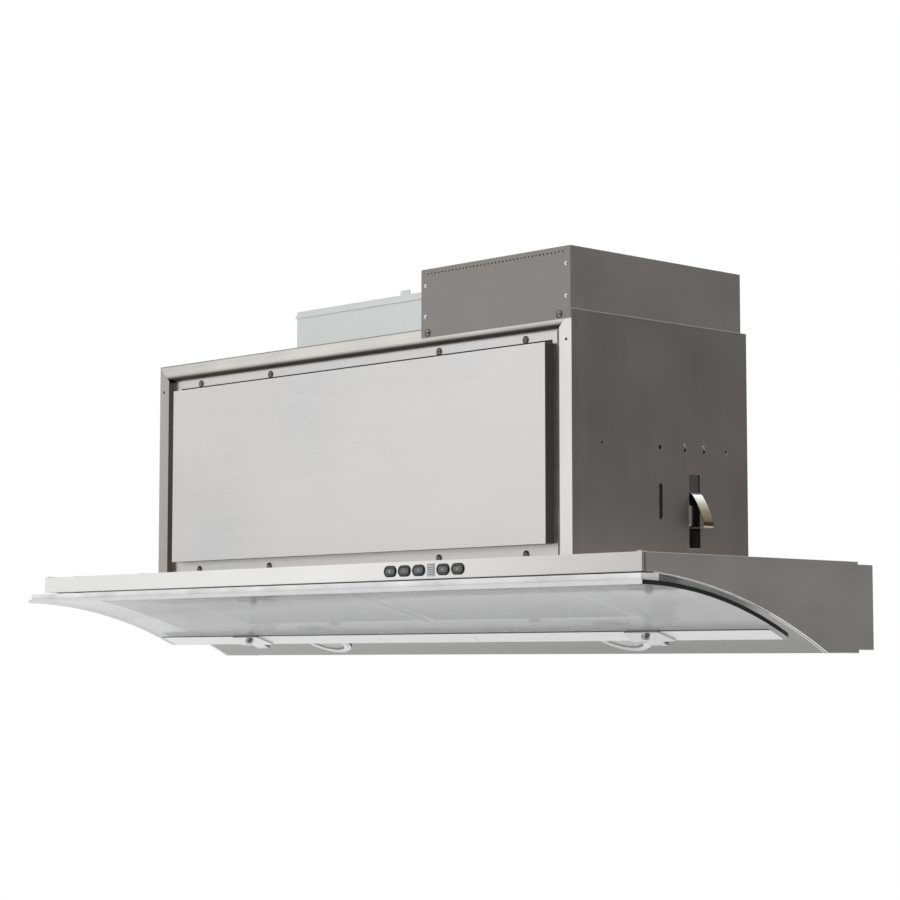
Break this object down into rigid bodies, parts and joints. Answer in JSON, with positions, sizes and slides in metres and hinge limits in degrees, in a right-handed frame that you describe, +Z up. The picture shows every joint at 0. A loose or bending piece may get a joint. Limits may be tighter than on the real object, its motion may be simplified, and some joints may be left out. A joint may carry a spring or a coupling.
{
  "type": "under cabinet range hood",
  "caption": "Slim under cabinet range hood with a curved glass intake panel, push buttons in the front rail and a blower box that stands inside the cabinet.",
  "frame": {"origin": "centre of the rectangle of cabinet screws, on the top face of the canopy, which is the plane of the cabinet floor", "axes": "+X to the right seen from the front, +Y to the wall, +Z up into the cabinet"},
  "size_m": [0.936, 0.357, 0.403],
  "materials": {
    "canopy_steel": "brushed",
    "pan_steel": "brushed",
    "rail_steel": "satin",
    "magnet": "matte",
    "panel_glass": "polished",
    "bar_white": "satin",
    "chrome": "polished",
    "pin_steel": "satin",
    "filter_aluminium": "satin",
    "filter_mesh": "satin",
    "black_plastic": "matte",
    "lamp_glass": "frosted",
    "galvanised": "satin",
    "bulb_glass": "clear",
    "button_graphite": "gloss",
    "display_lens": "gloss",
    "circuit_board": "matte",
    "box_steel": "satin",
    "panel_galvanised": "satin",
    "screw_black": "satin",
    "shroud_steel": "satin",
    "wheel_plastic": "matte",
    "motor_paint": "satin",
    "spring_steel": "polished",
    "capacitor_case": "gloss"
  },
  "bodies": {
    "hood": {"canopy_top": "canopy_steel", "side_panel_left": "canopy_steel", "side_panel_right": "canopy_steel", "pan": "pan_steel", "front_rail": "rail_steel", "rear_channel": "canopy_steel", "magnet_catches": "magnet", "hinge_pins": "pin_steel", "hinge_posts": "chrome", "filter_frame_left": "filter_aluminium", "filter_frame_right": "filter_aluminium", "filter_mesh_left": "filter_mesh", "filter_mesh_right": "filter_mesh", "lamp_bezel_left": "chrome", "lamp_bezel_right": "chrome", "lamp_lens_left": "lamp_glass", "lamp_lens_right": "lamp_glass", "lamp_housing_left": "galvanised", "lamp_housing_right": "galvanised", "lamp_bulbs": "bulb_glass", "display_window": "display_lens", "control_housing": "black_plastic", "control_board": "circuit_board", "box_side_left": "box_steel", "box_side_right": "box_steel", "box_back": "box_steel", "box_top": "galvanised", "front_frame": "box_steel", "access_panel": "panel_galvanised", "sheet_screws": "screw_black", "shroud": "shroud_steel", "shroud_rivets": "pin_steel", "duct_collar": "galvanised", "damper_rod": "pin_steel", "scroll_wrap": "galvanised", "scroll_side_left": "galvanised", "scroll_side_right": "galvanised", "motor_body": "motor_paint", "motor_bracket": "galvanised", "power_board": "circuit_board", "capacitor": "capacitor_case"},
    "glass": {"glass_panel": "panel_glass", "glass_bar": "bar_white", "glass_strip": "bar_white", "clip_left": "chrome", "clip_right": "chrome", "clip_nuts": "chrome"},
    "button_1": {"button_1": "button_graphite"},
    "button_2": {"button_2": "button_graphite"},
    "button_3": {"button_3": "button_graphite"},
    "button_4": {"button_4": "button_graphite"},
    "button_5": {"button_5": "button_graphite"},
    "wheel": {"blower_wheel": "wheel_plastic", "blower_shaft": "pin_steel"},
    "flap_front": {"damper_flap_front": "galvanised"},
    "flap_rear": {"damper_flap_rear": "galvanised"},
    "spring_left": {"spring_clip_left": "spring_steel"},
    "spring_right": {"spring_clip_right": "spring_steel"},
    "latch_left": {"filter_latch_left": "black_plastic"},
    "latch_right": {"filter_latch_right": "black_plastic"}
  },
  "joints": [
    {"name": "glass_hinge", "type": "hinge", "parent": "hood", "child": "glass", "pos_m": [0, 0.029, -0.067], "axis": [1, 0, 0], "range_deg": [0, 75]},
    {"name": "button_1_press", "type": "slide", "parent": "hood", "child": "button_1", "axis": [0, 1, 0], "range_m": [0, 0.0015], "stiffness_N_per_m": 400, "springref_m": -0.0005},
    {"name": "button_2_press", "type": "slide", "parent": "hood", "child": "button_2", "axis": [0, 1, 0], "range_m": [0, 0.0015], "stiffness_N_per_m": 400, "springref_m": -0.0005},
    {"name": "button_3_press", "type": "slide", "parent": "hood", "child": "button_3", "axis": [0, 1, 0], "range_m": [0, 0.0015], "stiffness_N_per_m": 400, "springref_m": -0.0005},
    {"name": "button_4_press", "type": "slide", "parent": "hood", "child": "button_4", "axis": [0, 1, 0], "range_m": [0, 0.0015], "stiffness_N_per_m": 400, "springref_m": -0.0005},
    {"name": "button_5_press", "type": "slide", "parent": "hood", "child": "button_5", "axis": [0, 1, 0], "range_m": [0, 0.0015], "stiffness_N_per_m": 400, "springref_m": -0.0005},
    {"name": "wheel_spin", "type": "hinge", "parent": "hood", "child": "wheel", "pos_m": [-0.138, 0.005, 0.115], "axis": [1, 0, 0], "continuous": true},
    {"name": "flap_front_swing", "type": "hinge", "parent": "hood", "child": "flap_front", "pos_m": [-0.138, 0.0865, 0.254], "axis": [-1, 0, 0], "range_deg": [0, 80]},
    {"name": "flap_rear_swing", "type": "hinge", "parent": "hood", "child": "flap_rear", "pos_m": [-0.138, 0.0865, 0.254], "axis": [1, 0, 0], "range_deg": [0, 80]},
    {"name": "spring_left_flex", "type": "hinge", "parent": "hood", "child": "spring_left", "pos_m": [-0.3155, 0.065, 0.0686], "axis": [0, -1, 0], "range_deg": [0, 28], "stiffness_Nm_per_rad": 0.8},
    {"name": "spring_right_flex", "type": "hinge", "parent": "hood", "child": "spring_right", "pos_m": [0.3155, 0.065, 0.0686], "axis": [0, 1, 0], "range_deg": [0, 28], "stiffness_Nm_per_rad": 0.8},
    {"name": "latch_left_slide", "type": "slide", "parent": "hood", "child": "latch_left", "axis": [0, -0.9695, 0.2452], "range_m": [0, 0.006], "stiffness_N_per_m": 250, "springref_m": -0.001},
    {"name": "latch_right_slide", "type": "slide", "parent": "hood", "child": "latch_right", "axis": [0, -0.9695, 0.2452], "range_m": [0, 0.006], "stiffness_N_per_m": 250, "springref_m": -0.001}
  ]
}
